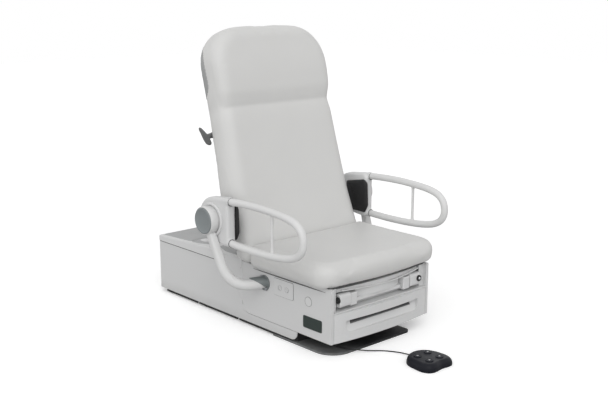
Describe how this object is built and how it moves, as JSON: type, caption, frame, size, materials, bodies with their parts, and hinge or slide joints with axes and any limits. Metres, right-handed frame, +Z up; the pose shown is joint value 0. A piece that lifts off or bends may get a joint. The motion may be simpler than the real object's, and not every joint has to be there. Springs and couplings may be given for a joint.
{
  "type": "powered examination chair",
  "caption": "Low-access examination chair: reclining back, wide seat, swing-up assist rails, drawer, pull-out leg extension and stirrups on a parallel lift, with a corded foot control.",
  "frame": {"origin": "floor under the centre plane, about under the back's hinge", "axes": "-Y is the front, +X is the right side seen from the front, +Z is up"},
  "size_m": [1, 1.621, 1.3253],
  "materials": {
    "upholstery": "satin vinyl",
    "shell_paint": "satin",
    "cover_plastic": "satin",
    "rail_paint": "satin",
    "frame_paint": "matte",
    "plate_paint": "matte",
    "zinc_steel": "brushed",
    "cast_grey": "satin",
    "cap_grey": "matte",
    "lever_grey": "matte",
    "pad_black": "matte",
    "board": "plain",
    "roll_grey": "matte",
    "outlet_white": "gloss",
    "plate_dark": "satin",
    "control_dark": "satin",
    "button_grey": "matte",
    "cord_black": "satin",
    "housing_grey": "matte"
  },
  "bodies": {
    "base": {"base_frame": "frame_paint", "foot_plate": "plate_paint", "levelling_feet": "pad_black", "pivot_stand": "frame_paint", "base_pivot_pins": "zinc_steel", "base_shroud": "shell_paint", "rear_lid": "cover_plastic", "control_box": "housing_grey", "foot_control": "control_dark", "foot_cord": "cord_black"},
    "lift_arm_body": {"lift_arm": "frame_paint"},
    "lift_link_body": {"lift_link": "frame_paint"},
    "chassis": {"lift_yoke": "frame_paint", "yoke_pivot_pins": "zinc_steel", "seat_frame": "frame_paint", "seat_board": "board", "seat_cushion": "upholstery", "chassis_shell": "shell_paint", "drawer_slides": "zinc_steel", "slide_guides": "zinc_steel", "outlet_plate": "outlet_white", "outlet_sockets": "outlet_white", "side_plug": "cover_plastic", "bare_plate": "plate_dark", "assist_arm_left": "rail_paint", "assist_arm_right": "rail_paint", "arm_bracket_left": "cast_grey", "arm_bracket_right": "cast_grey"},
    "back": {"back_frame": "frame_paint", "back_cushion": "upholstery", "back_shell": "cover_plastic", "roll_cover": "roll_grey", "back_hinge_pins": "zinc_steel", "lever_posts": "zinc_steel"},
    "drawer": {"drawer_front": "cover_plastic", "drawer_tray": "cover_plastic"},
    "leg_extension_body": {"leg_extension": "cover_plastic"},
    "rail_left_body": {"rail_housing_left": "cover_plastic", "rail_pad_left": "pad_black", "assist_rail_left": "rail_paint"},
    "hub_cap_left_body": {"hub_cap_left": "cap_grey"},
    "release_left_body": {"release_lever_left": "lever_grey"},
    "stirrup_left_body": {"stirrup_bar_left": "cover_plastic"},
    "foot_cup_left_body": {"foot_cup_left": "cover_plastic"},
    "clamp_knob_left_body": {"clamp_knob_left": "pad_black"},
    "rail_right_body": {"rail_housing_right": "cover_plastic", "rail_pad_right": "pad_black", "assist_rail_right": "rail_paint"},
    "hub_cap_right_body": {"hub_cap_right": "cap_grey"},
    "release_right_body": {"release_lever_right": "lever_grey"},
    "stirrup_right_body": {"stirrup_bar_right": "cover_plastic"},
    "foot_cup_right_body": {"foot_cup_right": "cover_plastic"},
    "clamp_knob_right_body": {"clamp_knob_right": "pad_black"},
    "pedal_seat_up_body": {"pedal_seat_up": "button_grey"},
    "pedal_seat_down_body": {"pedal_seat_down": "button_grey"},
    "pedal_back_up_body": {"pedal_back_up": "button_grey"},
    "pedal_back_down_body": {"pedal_back_down": "button_grey"}
  },
  "joints": [
    {"name": "lift", "type": "hinge", "parent": "base", "child": "lift_arm_body", "pos_m": [0, 0.3, 0.2], "axis": [-1, 0, 0], "range_deg": [0, 61.8]},
    {"name": "lift_link_pivot", "type": "hinge", "parent": "base", "child": "lift_link_body", "pos_m": [0, 0.36, 0.25], "axis": [-1, 0, 0], "range_deg": [0, 62]},
    {"name": "chassis_level", "type": "hinge", "parent": "lift_arm_body", "child": "chassis", "pos_m": [0, -0.24673, 0.07879], "axis": [-1, 0, 0], "range_deg": [-62, 0]},
    {"name": "back_recline", "type": "hinge", "parent": "chassis", "child": "back", "pos_m": [0, -0.105, 0.35], "axis": [-1, 0, 0], "range_deg": [-5, 74]},
    {"name": "drawer_slide", "type": "slide", "parent": "chassis", "child": "drawer", "axis": [0, -1, 0], "range_m": [0, 0.26]},
    {"name": "leg_extension_slide", "type": "slide", "parent": "chassis", "child": "leg_extension_body", "axis": [0, -1, 0], "range_m": [0, 0.38]},
    {"name": "rail_left_swing", "type": "hinge", "parent": "chassis", "child": "rail_left_body", "pos_m": [-0.425, -0.02, 0.509], "axis": [-1, 0, 0], "range_deg": [0, 100]},
    {"name": "hub_cap_left_press", "type": "slide", "parent": "chassis", "child": "hub_cap_left_body", "axis": [1, 0, 0], "range_m": [0, 0.004], "stiffness_N_per_m": 800},
    {"name": "release_left_pull", "type": "hinge", "parent": "back", "child": "release_left_body", "pos_m": [-0.323, 0.14578, 0.84392], "axis": [0, 0.9659, -0.2588], "range_deg": [0, 15], "stiffness_Nm_per_rad": 3},
    {"name": "stirrup_left_slide", "type": "slide", "parent": "chassis", "child": "stirrup_left_body", "axis": [0, -1, 0], "range_m": [0, 0.28]},
    {"name": "foot_cup_left_fold", "type": "hinge", "parent": "stirrup_left_body", "child": "foot_cup_left_body", "pos_m": [-0.215, -0.607, 0.217], "axis": [1, 0, 0], "range_deg": [0, 90]},
    {"name": "rail_right_swing", "type": "hinge", "parent": "chassis", "child": "rail_right_body", "pos_m": [0.425, -0.02, 0.509], "axis": [-1, 0, 0], "range_deg": [0, 100]},
    {"name": "hub_cap_right_press", "type": "slide", "parent": "chassis", "child": "hub_cap_right_body", "axis": [-1, 0, 0], "range_m": [0, 0.004], "stiffness_N_per_m": 800},
    {"name": "release_right_pull", "type": "hinge", "parent": "back", "child": "release_right_body", "pos_m": [0.323, 0.14578, 0.84392], "axis": [0, -0.9659, 0.2588], "range_deg": [0, 15], "stiffness_Nm_per_rad": 3},
    {"name": "stirrup_right_slide", "type": "slide", "parent": "chassis", "child": "stirrup_right_body", "axis": [0, -1, 0], "range_m": [0, 0.28]},
    {"name": "foot_cup_right_fold", "type": "hinge", "parent": "stirrup_right_body", "child": "foot_cup_right_body", "pos_m": [0.215, -0.607, 0.217], "axis": [1, 0, 0], "range_deg": [0, 90]},
    {"name": "clamp_knob_right_turn", "type": "hinge", "parent": "foot_cup_right_body", "child": "clamp_knob_right_body", "pos_m": [0.234, -0.62, 0.239], "axis": [0, -1, 0], "range_deg": [-45, 45]},
    {"name": "clamp_knob_left_turn", "type": "hinge", "parent": "foot_cup_left_body", "child": "clamp_knob_left_body", "pos_m": [-0.247, -0.607, 0.239], "axis": [-1, 0, 0], "range_deg": [-45, 45]},
    {"name": "pedal_seat_up_press", "type": "slide", "parent": "base", "child": "pedal_seat_up_body", "axis": [0, 0, -1], "range_m": [0, 0.0025], "stiffness_N_per_m": 600},
    {"name": "pedal_seat_down_press", "type": "slide", "parent": "base", "child": "pedal_seat_down_body", "axis": [0, 0, -1], "range_m": [0, 0.0025], "stiffness_N_per_m": 600},
    {"name": "pedal_back_up_press", "type": "slide", "parent": "base", "child": "pedal_back_up_body", "axis": [0, 0, -1], "range_m": [0, 0.0025], "stiffness_N_per_m": 600},
    {"name": "pedal_back_down_press", "type": "slide", "parent": "base", "child": "pedal_back_down_body", "axis": [0, 0, -1], "range_m": [0, 0.0025], "stiffness_N_per_m": 600}
  ],
  "couplings": [
    {"joint": "chassis_level", "follows": "lift", "ratio": -1},
    {"joint": "lift_link_pivot", "follows": "lift", "ratio": 1}
  ]
}
